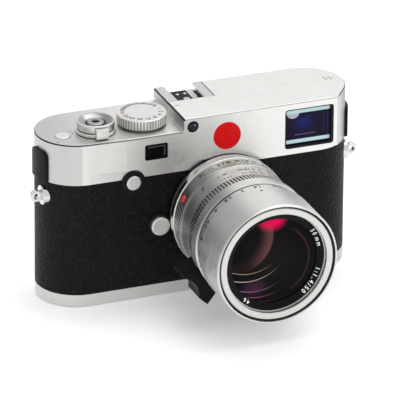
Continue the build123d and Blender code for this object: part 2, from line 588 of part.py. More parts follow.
def make_nav_pad():
    """Four-way pad: a dished ring that tilts on a cross pin in its cup."""
    pad = stud(PAD_X, PAD_Z, PAD_R, HALF + 1.5, HALF - 0.5)
    pad = fillet(circle_edges(pad, PAD_R).sort_by(Axis.Y)[-1], 0.6)
    dish_r = 26.0
    pad -= Pos(PAD_X, HALF + 1.5 + dish_r - 1.0, PAD_Z) * Sphere(dish_r)
    pad += stud(PAD_X, PAD_Z, PAD_HOLE_R + 1.6, HALF - 0.5, PAD_FLOOR + 0.7)
    pad += Pos(PAD_X, PAD_PIVOT_Y, PAD_Z) * Rot(0, 90, 0) * Cylinder(PAD_PIN_R, 2 * PAD_R + 2.6)
    return pad - stud(PAD_X, PAD_Z, PAD_HOLE_R, HALF + 3, PAD_FLOOR)


def make_nav_button():
    """Centre button of the four-way pad."""
    button = stud(PAD_X, PAD_Z, PAD_HOLE_R - 0.5, HALF + 1.3, PAD_FLOOR + 0.7)
    return fillet(circle_edges(button, PAD_HOLE_R - 0.5).sort_by(Axis.Y)[-1], 0.6)


# ---------------------------------------------------------------- base plate lock
def make_lock_disc():
    """Round lock with a recess for its folding handle."""
    disc = post(LOCK_X, 0, LOCK_R, 0.2, 2.2) + post(LOCK_X, 0, LOCK_R + 1.2, 1.25, 2.6)
    recess = Circle(6.9) & Pos(4.2, 0) * Rectangle(10, 20)
    disc -= slab(Pos(LOCK_X, 0) * (recess - Circle(3.7)), 0, 1.8)
    disc -= block((LOCK_X - 0.85, LOCK_X + 3), (-6.9, -3.2), (0, 1.8))
    disc -= block((LOCK_X - 0.85, LOCK_X + 3), (3.2, 6.9), (0, 1.8))
    bore = Pos(LOCK_X, 0, 0.95) * Rot(90, 0, 0) * Cylinder(0.45 + RUN, 15.4)
    hook = block((LOCK_X - 7.5, LOCK_X + 7.5), (-1.6, 1.6), (2.6, 4.2))
    return disc - bore + hook


def make_lock_handle():
    """D-shaped handle that folds out of the lock."""
    loop = (Circle(6.3) - Circle(4.3)) & Pos(5, 0) * Rectangle(10, 20)
    handle = slab(Pos(LOCK_X, 0) * loop, 0.45, 1.45)
    pins = []
    for side in (-1, 1):
        pin = Pos(LOCK_X, side * 5.9, 0.95) * Rot(90, 0, 0) * Cylinder(0.45, 3.2)
        pins.append(pin)
    return handle + pins


# ---------------------------------------------------------------- lens
def make_lens_barrel():
    """Fixed barrel with the depth scale, a rear wall, bayonet lugs and the focusing sleeve."""
    outer = [
        (19.6, LENS_SEAT),
        (BARREL_R - 0.2, LENS_SEAT),
        (BARREL_R, LENS_SEAT - 0.2),
        (BARREL_R, BARREL_FRONT + 0.9),
        (BARREL_R - 0.7, BARREL_FRONT),
        (SLEEVE_R, BARREL_FRONT),
        (SLEEVE_R, FOCUS_FRONT + 1.6),
        (SLEEVE_BORE, FOCUS_FRONT + 1.6),
        (SLEEVE_BORE, LENS_SEAT - 1.6),
        (19.6, LENS_SEAT - 1.6),
    ]
    barrel = turned(outer) + ring(20.3, 19.6, -20.6, LENS_SEAT)
    lugs = ring(21.9, 20.1, -22.05, FLANGE + 1.6)
    for index in range(3):
        lugs -= Pos(0, FLANGE, LENS_Z) * Rot(0, 120 * index + 60, 0) * wedge(34)
    barrel += lugs
    return barrel - grip_grooves(-1) - grip_grooves(1)


def grip_grooves(side):
    """Slanted grooves on one side of the fixed barrel, for twisting the lens off."""
    middle = (LENS_SEAT + BARREL_FRONT) / 2 - 0.1
    groove = Cylinder(0.55, 9.5, rotation=(0, 90, 0))
    groove = Pos(0, middle, LENS_Z + BARREL_R + 0.25) * Rot(0, 0, 90 + side * 24) * groove
    first = GRIP_MIDDLE - GRIP_PITCH * (GRIP_GROOVES - 1) / 2
    return [around_lens(groove, -side * (first + GRIP_PITCH * index)) for index in range(GRIP_GROOVES)]


def make_focus_ring():
    """Scale ring, fluted grip and front lip in one piece."""
    bore = SLEEVE_R + RUN
    outline = [
        (bore, FOCUS_REAR),
        (24.9, FOCUS_REAR),
        (25.3, FOCUS_REAR - 0.5),
        (25.3, SLOPE_REAR),
        (26.3, SLOPE_FRONT),
        (26.3, FOCUS_FRONT + 0.6),
        (25.6, FOCUS_FRONT),
        (bore, FOCUS_FRONT),
    ]
    focus = turned(outline)
    slot = extrude(RectangleRounded(0.8, SLOPE_REAR - SLOPE_FRONT - 0.7, 0.38), 3)
    slot = Pos(0, (SLOPE_REAR + SLOPE_FRONT) / 2 - 0.35, LENS_Z + 24.85) * slot
    return focus - [around_lens(slot, 360 * index / FOCUS_FLUTES) for index in range(FOCUS_FLUTES)]


def make_focus_tab():
    """Curved finger tab screwed to the focusing ring; its foot follows the slope of the grip."""
    outline = [
        (TAB_REACH, -39.8),
        (25.33, -39.8),
        (25.33, SLOPE_REAR),
        (26.33, SLOPE_FRONT),
        (26.33, -52.4),
        (TAB_REACH, -52.4),
    ]
    tab = turned(outline) & around_lens(Pos(0, -45, LENS_Z) * wedge(TAB_HALF), TAB_ANGLE)
    scoop = Pos(0, -60, LENS_Z + TAB_REACH + 6.3) * Rot(90, 0, 0) * Cylinder(9.0, 60)
    return tab - around_lens(scoop, SCOOP_ANGLE)


def make_front_group():
    """Inner barrel that carries the glass and the iris, with the focusing cam at its rear end."""
    outline = [
        (REAR_BORE_R, INNER_REAR),
        (19.4, INNER_REAR),
        (19.4, LENS_SEAT - 1.8),
        (SLEEVE_BORE - RUN, LENS_SEAT - 3.6),
        (SLEEVE_BORE - RUN, FOCUS_FRONT - 0.3),
        (SLEEVE_R, FOCUS_FRONT - 0.3),
        (SLEEVE_R, HOOD_REAR + 0.4),
        (FRONT_TUBE_R, HOOD_REAR + 0.4),
        (FRONT_TUBE_R, HOOD_FRONT + 0.7),
        (FRONT_TUBE_R - 0.3, HOOD_FRONT + 0.4),
        (THREAD_R + 0.3, HOOD_FRONT + 0.4),
        (THREAD_R, HOOD_FRONT + 0.7),
        (THREAD_R, NAME_RING_FRONT),
        (NAME_RING_R + RUN, NAME_RING_FRONT),
        (NAME_RING_R + RUN, NAME_RING_REAR),
        (BORE_FRONT_R, NAME_RING_REAR),
        (BORE_FRONT_R, -62.0),
        (BORE_R, -62.0),
        (BORE_R, -30.0),
        (REAR_BORE_R, -30.0),
    ]
    return turned(outline)


def make_name_ring():
    """Black retaining ring around the front glass."""
    outline = [
        (NAME_RING_R, NAME_RING_REAR),
        (NAME_RING_R, NAME_RING_FRONT),
        (NAME_RING_R - 0.4, NAME_RING_FRONT),
        (GLASS_R - 1.0, NAME_RING_REAR - 1.1),
        (GLASS_R - 1.0, NAME_RING_REAR - 0.8),
        (GLASS_R + 0.05, NAME_RING_REAR - 0.5),
        (GLASS_R + 0.05, NAME_RING_REAR),
    ]
    return turned(outline)


def lens_element(radius, rear, front, rear_bow, front_bow):
    """A glass element: a disc whose spherical faces bow out (positive) or in (negative) at the axis."""
    rear_face = spherical_face(radius, rear, rear_bow)
    rim = Line((radius, rear, LENS_Z), (radius, front, LENS_Z))
    front_face = spherical_face(radius, front, -front_bow)
    axis_line = Line(rear_face @ 0, front_face @ 0)
    outline = make_face(Curve() + [rear_face, rim, front_face, axis_line])
    return revolve(outline, Axis((0, 0, LENS_Z), (0, 1, 0)))


def spherical_face(radius, edge, bow):
    """Half of a face's outline, from the axis to the rim: an arc centred exactly on the lens axis."""
    sphere_r = (radius**2 + bow**2) / (2 * abs(bow))
    sag = sphere_r - (sphere_r**2 - radius**2 / 4) ** 0.5
    halfway = edge + bow - copysign(sag, bow)
    return ThreePointArc((0, edge + bow, LENS_Z), (radius / 2, halfway, LENS_Z), (radius, edge, LENS_Z))


def make_glass_elements():
    """Five elements seated in the bores of the inner barrel, two of them behind the iris."""
    fit = 0.05
    front = lens_element(GLASS_R, NAME_RING_REAR + 5.0, NAME_RING_REAR - 0.4, -2.2, 1.6)
    second = lens_element(BORE_R - fit, -57.5, -61.5, -2.4, 3.4)
    third = lens_element(BORE_R - fit, -50.5, -53.5, 1.6, -1.4)
    fourth = lens_element(BORE_R - fit, -38.0, -42.5, 2.2, -0.8)
    rear = lens_element(REAR_BORE_R - fit, -24.5, -28.5, 1.4, 2.0)
    return Compound(children=[front, second, third, fourth, rear])


def make_aperture_ring():
    """Aperture ring: cross-cut grips on both sides of the band that carries the numbers."""
    outline = [
        (SLEEVE_R + RUN, APERTURE_REAR),
        (25.4, APERTURE_REAR),
        (25.7, APERTURE_REAR - 0.3),
        (25.7, APERTURE_FRONT + 0.3),
        (25.4, APERTURE_FRONT),
        (SLEEVE_R + RUN, APERTURE_FRONT),
    ]
    aperture = turned(outline)
    middle = (APERTURE_REAR + APERTURE_FRONT) / 2
    slot = Pos(0, middle, LENS_Z + 25.7) * Box(0.7, 6, 0.7)
    right = [-17 - 3.6 * index for index in range(17)]
    left = [125 + 3.6 * index for index in range(12)]
    return aperture - [around_lens(slot, angle) for angle in right + left]


def make_hood():
    """Built-in hood that slides forward over the front tube."""
    outline = [
        (FRONT_TUBE_R + RUN, HOOD_REAR),
        (26.2, HOOD_REAR),
        (HOOD_R, HOOD_REAR - 0.7),
        (HOOD_R, HOOD_FRONT + 0.5),
        (HOOD_R - 0.35, HOOD_FRONT),
        (25.95, HOOD_FRONT),
        (25.95, HOOD_REAR - 3.0),
        (FRONT_TUBE_R + RUN, HOOD_REAR - 3.0),
    ]
    return turned(outline)


def make_iris_blade(index):
    """One thin crescent that swings about its pivot to close the aperture."""
    band = Circle(BLADE_OUTER_R) - Circle(BLADE_INNER_R)
    sector = Polygon((0, 0), (0, 30), (30, 30), (30, -14), align=None)
    blade = (band & sector) + Pos(0, BLADE_PIVOT_R) * Circle(1.4)
    blade -= Pos(0, BLADE_PIVOT_R) * Circle(0.5)
    y_rear = BLADE_FIRST - BLADE_PITCH * index
    solid = extrude(facing_front(0, y_rear, LENS_Z) * blade, BLADE_THICKNESS)
    return around_lens(solid, -360 * index / BLADES)


# ---------------------------------------------------------------- all pieces by name
parts = {
    "chassis": make_chassis(),
    "leatherette": make_leatherette(),
    "top_cover": make_top_cover(),
    "base_plate": make_base_plate(),
    "strap_lugs": make_strap_lugs(),
    "strap_guards": make_strap_guards(),
    "body_bayonet": make_body_bayonet(),
    "button_bezels": make_button_bezels(),
    "finder_bezel": make_finder_bezel(),
    "finder_window": make_finder_window(),
    "range_window": make_range_window(),
    "light_sensor": make_light_sensor(),
    "front_badge": make_front_badge(),
    "accessory_shoe": make_accessory_shoe(),
    "shoe_insulator": make_shoe_insulator(),
    "eyepiece_ring": make_eyepiece_ring(),
    "eyepiece_glass": make_eyepiece_glass(),
    "display_glass": make_display_glass(),
    "tripod_socket": make_tripod_socket(),
    "image_sensor": make_image_sensor(),
    "shutter_unit": make_shutter_unit(),
    "main_board": make_main_board(),
    "battery": make_battery(),
    "rangefinder_block": make_rangefinder_block(),
    "rangefinder_arm": make_rangefinder_arm(),
    "release_collar": make_release_collar(),
    "power_lever": make_power_lever(),
    "release_button": make_release_button(),
    "speed_dial": make_speed_dial(),
    "movie_button": make_movie_button(),
    "thumbwheel": make_thumbwheel(),
    "focus_assist_button": make_front_button(ASSIST_X, ASSIST_Z, ASSIST_R, -HALF - 1.3),
    "lens_release_button": make_front_button(UNLOCK_X, UNLOCK_Z, UNLOCK_R, -HALF - 2.4),
    "nav_pad": make_nav_pad(),
    "nav_button": make_nav_button(),
    "lock_disc": make_lock_disc(),
    "lock_handle": make_lock_handle(),
    "lens_barrel": make_lens_barrel(),
    "focus_ring": make_focus_ring(),
    "focus_tab": make_focus_tab(),
    "front_group": make_front_group(),
    "name_ring": make_name_ring(),
    "glass_elements": make_glass_elements(),
    "aperture_ring": make_aperture_ring(),
    "hood": make_hood(),
}
for number, key_name in enumerate(KEY_NAMES):
    parts[key_name] = make_key(number)
for number in range(BLADES):
    parts[f"iris_blade_{number + 1}"] = make_iris_blade(number)

os.makedirs("parts", exist_ok=True)
for node, solid in parts.items():
    export_step(solid, f"parts/{node}.step")
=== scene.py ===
"""Looks of the rangefinder camera: finishes for every CAD piece, the engraved numbers and the studio."""

from math import cos, degrees, pi, radians, sin

import bmesh
import bpy
from mathutils import Matrix, Vector


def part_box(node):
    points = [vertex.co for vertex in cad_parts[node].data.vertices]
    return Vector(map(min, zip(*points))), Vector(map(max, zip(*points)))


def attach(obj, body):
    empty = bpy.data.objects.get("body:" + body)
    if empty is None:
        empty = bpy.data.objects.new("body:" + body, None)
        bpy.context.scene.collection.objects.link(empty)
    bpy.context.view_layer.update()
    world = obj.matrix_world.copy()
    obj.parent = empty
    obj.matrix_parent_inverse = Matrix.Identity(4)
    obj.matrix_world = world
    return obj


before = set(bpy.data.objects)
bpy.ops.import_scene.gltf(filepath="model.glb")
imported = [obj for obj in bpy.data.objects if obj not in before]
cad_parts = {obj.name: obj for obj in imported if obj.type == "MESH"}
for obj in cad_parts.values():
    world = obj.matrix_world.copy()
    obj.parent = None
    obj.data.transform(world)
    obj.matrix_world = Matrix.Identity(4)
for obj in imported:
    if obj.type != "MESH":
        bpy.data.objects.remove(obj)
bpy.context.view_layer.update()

MM = 0.001

# Places on the camera, in millimetres
LENS_Z = 36.4  # height of the lens axis
INK_LIFT = 0.02  # paint in the engravings, above the metal
COVER_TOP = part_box("top_cover")[1].z / MM  # top of the hump
DECK_TOP = COVER_TOP - 5.3  # the lower deck left of the hump
HUMP_LEFT = -18.5  # left face of the hump
FRONT_FACE = -17.3  # front face of the top cover
FACET = 51.4  # corner where the front face turns into the right end
ROUNDED_LEFT = -44.1  # where the front face starts to curve round the left end
LEFT_STEP, RIGHT_STEP = 60.02, 57.32  # lower edges of the cover's steps beside the lens
COLLAR_R, COLLAR_FACE = 25.35, -19.35  # plated lens collar of the chassis
BARREL_R = 25.4  # lens barrel, under its depth scale
SCALE_R = 25.3  # focus ring, under its distance scales
APERTURE_R = 25.7  # aperture ring, under its numbers
HOOD_R = 26.8  # rear edge of the hood

scene = bpy.context.scene


# ---------------------------------------------------------------- node helpers
class Finish:
    """A Principled material with helpers for procedural detail in object coordinates (metres)."""

    def __init__(self, name, colour, metallic=0.0, roughness=0.5, specular=0.5):
        self.material = bpy.data.materials.new(name)
        self.material.use_nodes = True
        self.nodes = self.material.node_tree.nodes
        self.links = self.material.node_tree.links
        self.shader = self.nodes["Principled BSDF"]
        self.colour = tuple(colour) + (1.0,)
        self.shader.inputs["Base Color"].default_value = self.colour
        self.shader.inputs["Metallic"].default_value = metallic
        self.shader.inputs["Roughness"].default_value = roughness
        self.shader.inputs["Specular IOR Level"].default_value = specular
        self.place = self.nodes.new("ShaderNodeTexCoord").outputs["Object"]
        self.colour_out = None
        self.normal_out = None

    def noise(self, scale, detail=3.0, stretch=(1, 1, 1)):
        """Noise with features of about 1/scale metres."""
        place = self.place
        if stretch != (1, 1, 1):
            mapping = self.nodes.new("ShaderNodeMapping")
            mapping.inputs["Scale"].default_value = stretch
            self.links.new(place, mapping.inputs["Vector"])
            place = mapping.outputs["Vector"]
        texture = self.nodes.new("ShaderNodeTexNoise")
        texture.inputs["Scale"].default_value = scale
        texture.inputs["Detail"].default_value = detail
        self.links.new(place, texture.inputs["Vector"])
        return texture.outputs["Fac"]

    def cells(self, scale):
        """Distance inside rounded cells of about 1/scale metres."""
        texture = self.nodes.new("ShaderNodeTexVoronoi")
        texture.feature = "SMOOTH_F1"
        texture.inputs["Scale"].default_value = scale
        texture.inputs["Smoothness"].default_value = 0.35
        self.links.new(self.place, texture.inputs["Vector"])
        return texture.outputs["Distance"]

    def spread(self, value, low, high, to_low=0.0, to_high=1.0, smooth=False):
        """value mapped from low..high to to_low..to_high, clamped."""
        node = self.nodes.new("ShaderNodeMapRange")
        if smooth:
            node.interpolation_type = "SMOOTHSTEP"
        for socket, number in zip(node.inputs[1:5], (low, high, to_low, to_high)):
            socket.default_value = number
        self.links.new(value, node.inputs["Value"])
        return node.outputs["Result"]

    def math(self, operation, a, b=None):
        node = self.nodes.new("ShaderNodeMath")
        node.operation = operation
        for socket, item in zip(node.inputs, (a, b)):
            if item is None:
                continue
            if isinstance(item, (int, float)):
                socket.default_value = item
            else:
                self.links.new(item, socket)
        return node.outputs["Value"]

    def times(self, *values):
        """The product of several values."""
        total = values[0]
        for value in values[1:]:
            total = self.math("MULTIPLY", total, value)
        return total

    def axis(self, letter):
        """One coordinate of the shaded point, in millimetres."""
        split = self.nodes.new("ShaderNodeSeparateXYZ")
        self.links.new(self.place, split.inputs["Vector"])
        return self.math("MULTIPLY", split.outputs[letter], 1000.0)

    def offset(self, letter, start):
        """One coordinate of the shaded point, in millimetres from start."""
        return self.math("SUBTRACT", self.axis(letter), start)

    def reach(self, across, along):
        """Length of the diagonal over two sides."""
        return self.math("SQRT", self.math("ADD", self.times(across, across), self.times(along, along)))

    def band(self, value, low, high, soft):
        """1 between low and high, falling to 0 over soft on either side."""
        rise = self.spread(value, low - soft, low, smooth=True)
        fall = self.spread(value, high, high + soft, 1.0, 0.0, smooth=True)
        return self.times(rise, fall)

    def tint(self, factor, colour):
        """Mixes a colour over what is there so far."""
        mix = self.nodes.new("ShaderNodeMix")
        mix.data_type = "RGBA"
        mix.inputs["A"].default_value = self.colour
        if self.colour_out is not None:
            self.links.new(self.colour_out, mix.inputs["A"])
        mix.inputs["B"].default_value = tuple(colour) + (1.0,)
        self.links.new(factor, mix.inputs["Factor"])
        self.colour_out = mix.outputs["Result"]
        self.links.new(self.colour_out, self.shader.inputs["Base Color"])
        return self

    def bump(self, height, depth_mm):
        node = self.nodes.new("ShaderNodeBump")
        node.inputs["Distance"].default_value = depth_mm * MM
        self.links.new(height, node.inputs["Height"])
        if self.normal_out is not None:
            self.links.new(self.normal_out, node.inputs["Normal"])
        self.normal_out = node.outputs["Normal"]
        self.links.new(self.normal_out, self.shader.inputs["Normal"])
        return self

    def rough(self, value):
        self.links.new(value, self.shader.inputs["Roughness"])
        return self

    def edges(self):
        """1 near sharp edges, where the finish is worn, from how a small rounding would turn the surface."""
        rounded = self.nodes.new("ShaderNodeBevel")
        rounded.samples = 4
        rounded.inputs["Radius"].default_value = 0.22 * MM
        turned = self.nodes.new("ShaderNodeVectorMath")
        turned.operation = "DOT_PRODUCT"
        self.links.new(rounded.outputs["Normal"], turned.inputs[0])
        self.links.new(self.nodes.new("ShaderNodeNewGeometry").outputs["Normal"], turned.inputs[1])
        return self.spread(turned.outputs["Value"], 0.995, 0.9)


def metal(name, colour, roughness, grain=6000, depth=0.0012, wear=0.5, worn=(0.95, 0.94, 0.92)):
    """A metal with fine grain, slow colour drift, uneven roughness and brighter worn edges."""
    finish = Finish(name, colour, metallic=1.0, roughness=roughness)
    grain_height = finish.noise(grain, 4.0)
    drift = finish.noise(38.0, 4.0)
    finish.tint(finish.spread(drift, 0.35, 0.75, 0.0, 0.35), [c * 0.9 for c in colour])
    if wear:
        finish.tint(finish.times(finish.edges(), wear), worn)
    finish.rough(finish.spread(finish.noise(420.0, 5.0), 0.3, 0.7, roughness * 0.88, roughness * 1.14))
    return finish.bump(grain_height, depth)


def dull(name, colour, roughness, specular, grain=2600, depth=0.012, worn=(0.05, 0.05, 0.053)):
    """A dark paint, anodised or plastic surface with fine texture."""
    finish = Finish(name, colour, roughness=roughness, specular=specular)
    height = finish.noise(grain, 4.0)
    finish.tint(finish.spread(finish.noise(70.0), 0.35, 0.7), [c * 1.35 for c in colour])
    finish.tint(finish.times(finish.edges(), 0.55), worn)
    finish.rough(finish.spread(finish.noise(500.0), 0.3, 0.7, roughness * 0.85, min(1.0, roughness * 1.15)))
    return finish.bump(height, depth)


# ---------------------------------------------------------------- finishes by material slot
CHROME = (0.77, 0.76, 0.745)
LENS_SATIN = (0.66, 0.65, 0.636)


def grey(level):
    return (level, level, level)


def scaled(colour, share):
    return [part * share for part in colour]


def from_middle(finish, box, letters):
    """Two coordinates of the shaded point, in millimetres from the middle of a box."""
    low, high = box
    places = ["XYZ".index(letter) for letter in letters]
    return [finish.offset(letter, (low[i] + high[i]) / 2 / MM) for letter, i in zip(letters, places)]


def half_width(box):
    low, high = box
    return (high.x - low.x) / 2 / MM


def cover_chrome():
    """Satin chrome of the top cover, with painted thin dark reflections along its rounded upper edges and
    painted shade and shadow lines on its turned faces, steps and left end.
    """
    finish = metal("top_cover_chrome", CHROME, 0.38, wear=0)
    x, y, z = finish.axis("X"), finish.axis("Y"), finish.axis("Z")
    on_front = finish.spread(y, FRONT_FACE - 0.1, FRONT_FACE + 0.1, 1.0, 0.0)
    behind_front = finish.spread(y, FRONT_FACE - 0.1, FRONT_FACE + 0.1)
    below_top = finish.spread(z, COVER_TOP - 0.5, COVER_TOP - 0.4, 1.0, 0.0)

    # painted dark reflections along the rounded top edges of the hump and of the right end
    hump_edge_reflection = finish.band(z, COVER_TOP - 0.38, COVER_TOP - 0.07, 0.04)
    finish.tint(finish.times(hump_edge_reflection, 0.65), grey(0.16))
    end_edge_reflection = finish.band(z, COVER_TOP - 0.44, COVER_TOP - 0.05, 0.04)
    finish.tint(finish.times(end_edge_reflection, finish.spread(x, FACET + 0.2, FACET + 1.0)), grey(0.02))

    # painted shade on the turned corner face, on the right end and along the corner line between them
    facet = finish.times(finish.spread(x, FACET - 0.05, FACET + 0.1), below_top)
    finish.tint(finish.times(facet, 0.6), (0.38, 0.375, 0.37))
    far_end_shade = finish.times(finish.spread(x, FACET + 1.1, FACET + 6.1, 0.0, 0.9), below_top)
    finish.tint(far_end_shade, (0.24, 0.238, 0.235))
    corner = finish.times(finish.band(x, FACET - 0.2, FACET + 0.05, 0.04), below_top)
    finish.tint(finish.times(corner, 0.5), grey(0.2))

    # painted shade on the left side face of the hump, fading towards the back
    side_face = finish.band(x, HUMP_LEFT - 0.1, HUMP_LEFT + 0.08, 0.03)
    hump_side_shade = finish.times(side_face, finish.spread(z, DECK_TOP + 0.1, DECK_TOP + 0.3))
    finish.tint(finish.times(hump_side_shade, finish.spread(y, -18.0, 16.0, 0.62, 0.3)), grey(0.2))
    # painted shade: a near black strip in the gap along the hump's left edge beside the shoe
    rail_gap_shade = finish.band(x, HUMP_LEFT - 0.1, HUMP_LEFT + 0.6, 0.04)
    near_top = finish.spread(z, COVER_TOP - 0.7, COVER_TOP - 0.62)
    finish.tint(finish.times(rail_gap_shade, near_top), grey(0.012))

    # painted shadow lines under the cover's steps beside the lens
    left_of_lens = finish.times(finish.spread(x, -60.0, -46.0), finish.spread(x, -5.0, 0.0, 1.0, 0.0))
    left_step_shadow = finish.times(finish.band(z, LEFT_STEP, LEFT_STEP + 0.34, 0.04), left_of_lens)
    right_step_shadow = finish.times(finish.band(z, RIGHT_STEP, RIGHT_STEP + 0.34, 0.04), finish.spread(x, 0.0, 5.0))
    finish.tint(finish.times(finish.math("MAXIMUM", left_step_shadow, right_step_shadow), 0.6), grey(0.14))

    # painted shade where the front face curves round the left end, and on the cover behind its front face,
    # darker towards the left
    rounded_left_shade = finish.times(finish.spread(x, ROUNDED_LEFT - 0.2, ROUNDED_LEFT + 0.2, 1.0, 0.0), on_front)
    finish.tint(finish.times(rounded_left_shade, 0.5), scaled(CHROME, 0.8))
    deck_left_shade = finish.times(finish.spread(x, -25.0, -70.0, 0.0, 0.85), behind_front)
    finish.tint(deck_left_shade, scaled(CHROME, 0.62))

    # painted dark reflection along the deck's rounded top edge, strongest at the left
    deck_edge_reflection = finish.times(
        finish.band(z, DECK_TOP - 0.68, DECK_TOP - 0.08, 0.04),
        finish.spread(x, -76.0, -30.0, 1.0, 0.62),
        finish.spread(x, HUMP_LEFT - 0.5, HUMP_LEFT + 0.1, 1.0, 0.0),
    )
    return finish.tint(deck_edge_reflection, grey(0.012))


def grooved(finish, radius, low, high, slope=0.0, shade=0.5):
    """Painted shade in the grooves below a given radius about the lens axis between two stations, over the
    painted dark reflection of ring_shade.
    """
    from_axis = finish.reach(finish.axis("X"), finish.offset("Z", LENS_Z))
    along = finish.times(finish.math("SUBTRACT", high, finish.axis("Y")), slope)
    depth = finish.math("SUBTRACT", finish.math("ADD", along, radius), from_axis)
    # painted shade where the surface lies below the given radius
    inside = finish.times(finish.spread(depth, 0.0, 0.12), finish.band(finish.axis("Y"), low, high, 0.02))
    return ring_shade(finish, shade).tint(finish.times(inside, 0.72), (0.1, 0.1, 0.102))


def ring_shade(finish, amount=0.5):
    """Painted dark reflection on the upper left of the lens rings, where the black body shows in them."""
    upper = finish.spread(finish.offset("Z", LENS_Z), -6.0, 8.0, smooth=True)
    left = finish.band(finish.axis("X"), -22.5, -15.5, 9.0)
    return finish.tint(finish.times(left, upper, amount), (0.17, 0.169, 0.166))


def dial_chrome():
    """Chrome of the speed dial with shaded flutes."""
    finish = metal("speed_dial_chrome", CHROME, 0.3)
    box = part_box("speed_dial")
    outer, flute_floor = 10.52, 10.25
    depth = finish.spread(finish.reach(*from_middle(finish, box, "XY")), outer, flute_floor)
    rim = box[1].z / MM - 0.5
    below_rim = finish.spread(finish.axis("Z"), rim, rim + 0.08, 1.0, 0.0)
    return finish.tint(finish.times(depth, below_rim, 0.85), grey(0.11))


def collar_chrome():
    """Polished dish round the release button, with painted shade over the dish, most on its right wall, and
    near black painted shade in the gap beside the button.
    """
    finish = metal("release_collar_chrome", (0.60, 0.592, 0.58), 0.3, depth=0.0006, wear=0.3)
    x, y = from_middle(finish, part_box("release_collar"), "XY")
    from_axis = finish.reach(x, y)
    dish = finish.spread(from_axis, 7.2, 7.4, 1.0, 0.0)
    gap = finish.spread(from_axis, 4.1, 5.0, 1.0, 0.0)
    # painted shade: the dish darker, most on its right wall, and near black in the gap beside the button
    finish.tint(finish.times(dish, finish.spread(x, -1.5, 5.0), 0.62), grey(0.12))
    finish.tint(finish.times(dish, 0.5), (0.24, 0.238, 0.235))
    return finish.tint(finish.times(gap, 0.95), grey(0.012))


def button_chrome():
    """Release button: darker than the dish round it, with painted shade round its rim and near black painted
    shade in its threaded hole.
    """
    finish = metal("release_button_chrome", (0.36, 0.355, 0.35), 0.32, wear=0.7, worn=(0.6, 0.59, 0.58))
    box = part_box("release_button")
    from_axis = finish.reach(*from_middle(finish, box, "XY"))
    outer = finish.spread(from_axis, half_width(box) - 0.5, half_width(box) - 0.3)
    # painted shade round the button's rim and near black painted shade in its threaded hole
    finish.tint(finish.times(outer, 0.8), grey(0.1))
    return finish.tint(finish.spread(from_axis, 1.3, 1.5, 0.95, 0.0), grey(0.01))


def sensor_dome():
    """Round light sensor: a blue-grey dome inside a black rim, with painted shade darkening its upper half
    and a small soft painted highlight.
    """
    finish = Finish("light_sensor_dome", (0.012, 0.022, 0.032), roughness=0.08, specular=0.2)
    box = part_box("light_sensor")
    radius = half_width(box)
    x, z = from_middle(finish, box, "XZ")
    finish.tint(finish.spread(finish.noise(150.0), 0.35, 0.75), (0.016, 0.03, 0.042))
    # painted shade: the upper half of the dome darker
    upper = finish.spread(z, -0.5 * radius, 0.5 * radius)
    finish.tint(finish.times(upper, 0.5), (0.004, 0.006, 0.01))
    # painted highlight: a small soft glint at the upper right
    glint = finish.times(
        finish.band(x, 0.25 * radius, 0.4 * radius, 0.25), finish.band(z, 0.2 * radius, 0.4 * radius, 0.25)
    )
    finish.tint(finish.times(glint, 0.5), (0.4, 0.5, 0.55))
    rim = finish.spread(finish.reach(x, z), 0.66 * radius, 0.74 * radius)
    return finish.tint(rim, (0.0015, 0.0015, 0.002))


def base_chrome():
    """Base plate: the cover's plating, a little darker, with painted shade at the right end."""
    finish = metal("base_plate_chrome", (0.68, 0.67, 0.655), 0.36, wear=0.3)
    # painted shade, darker towards the right end
    return finish.tint(finish.spread(finish.axis("X"), 36.0, 62.0, 0.0, 0.5), (0.36, 0.355, 0.35))


def chassis_casting():
    """Black die-casting whose lens collar is plated like the cover."""
    finish = dull("chassis_casting", (0.006, 0.006, 0.0065), 0.4, 0.15, depth=0.02)
    from_axis = finish.reach(finish.axis("X"), finish.offset("Z", LENS_Z))
    near = finish.spread(from_axis, COLLAR_R - 0.05, COLLAR_R + 0.05, 1.0, 0.0)
    in_front = finish.spread(finish.axis("Y"), COLLAR_FACE - 0.05, COLLAR_FACE + 0.05, 1.0, 0.0)
    plated = finish.times(near, in_front)
    finish.tint(plated, CHROME)
    finish.links.new(plated, finish.shader.inputs["Metallic"])
    return finish


def insulator():
    """Black shoe bed; its outer left edge is finished like the cover."""
    finish = dull("shoe_insulator_black", (0.004, 0.004, 0.0045), 0.38, 0.1)
    outer_left = finish.spread(finish.axis("X"), HUMP_LEFT + 0.04, HUMP_LEFT + 0.06, 1.0, 0.0)
    below_edge = finish.spread(finish.axis("Z"), COVER_TOP - 0.7, COVER_TOP - 0.6, 1.0, 0.0)
    plated = finish.times(outer_left, below_edge)
    finish.tint(plated, (0.42, 0.415, 0.41))
    finish.links.new(plated, finish.shader.inputs["Metallic"])
    return finish


def leather():
    """Fine pebbled leatherette: rounded cells with creases between them and a faint sheen."""
    finish = Finish("leatherette", (0.0015, 0.0015, 0.0016), roughness=0.46, specular=0.13)
    pebbles = finish.spread(finish.cells(640.0), 0.05, 0.62, 1.0, 0.0)
    wrinkles = finish.noise(520.0, 5.0, (1.0, 1.0, 1.7))
    finish.tint(finish.spread(pebbles, 0.2, 0.7, 0.0, 0.9), (0.006, 0.006, 0.0065))
    finish.tint(finish.spread(wrinkles, 0.5, 0.66, 0.0, 0.8), (0.011, 0.011, 0.012))
    finish.rough(finish.spread(wrinkles, 0.3, 0.7, 0.42, 0.62))
    return finish.bump(pebbles, 0.2).bump(wrinkles, 0.16)


def enamel():
    """Bright red enamel of the badge, slightly uneven under its gloss."""
    finish = Finish("red_enamel", (0.66, 0.003, 0.004), roughness=0.25, specular=0.14)
    finish.tint(finish.spread(finish.noise(300.0), 0.35, 0.7, 0.0, 0.5), (0.60, 0.003, 0.004))
    finish.rough(finish.spread(finish.noise(900.0), 0.3, 0.7, 0.16, 0.3))
    return finish.bump(finish.noise(420.0), 0.012)


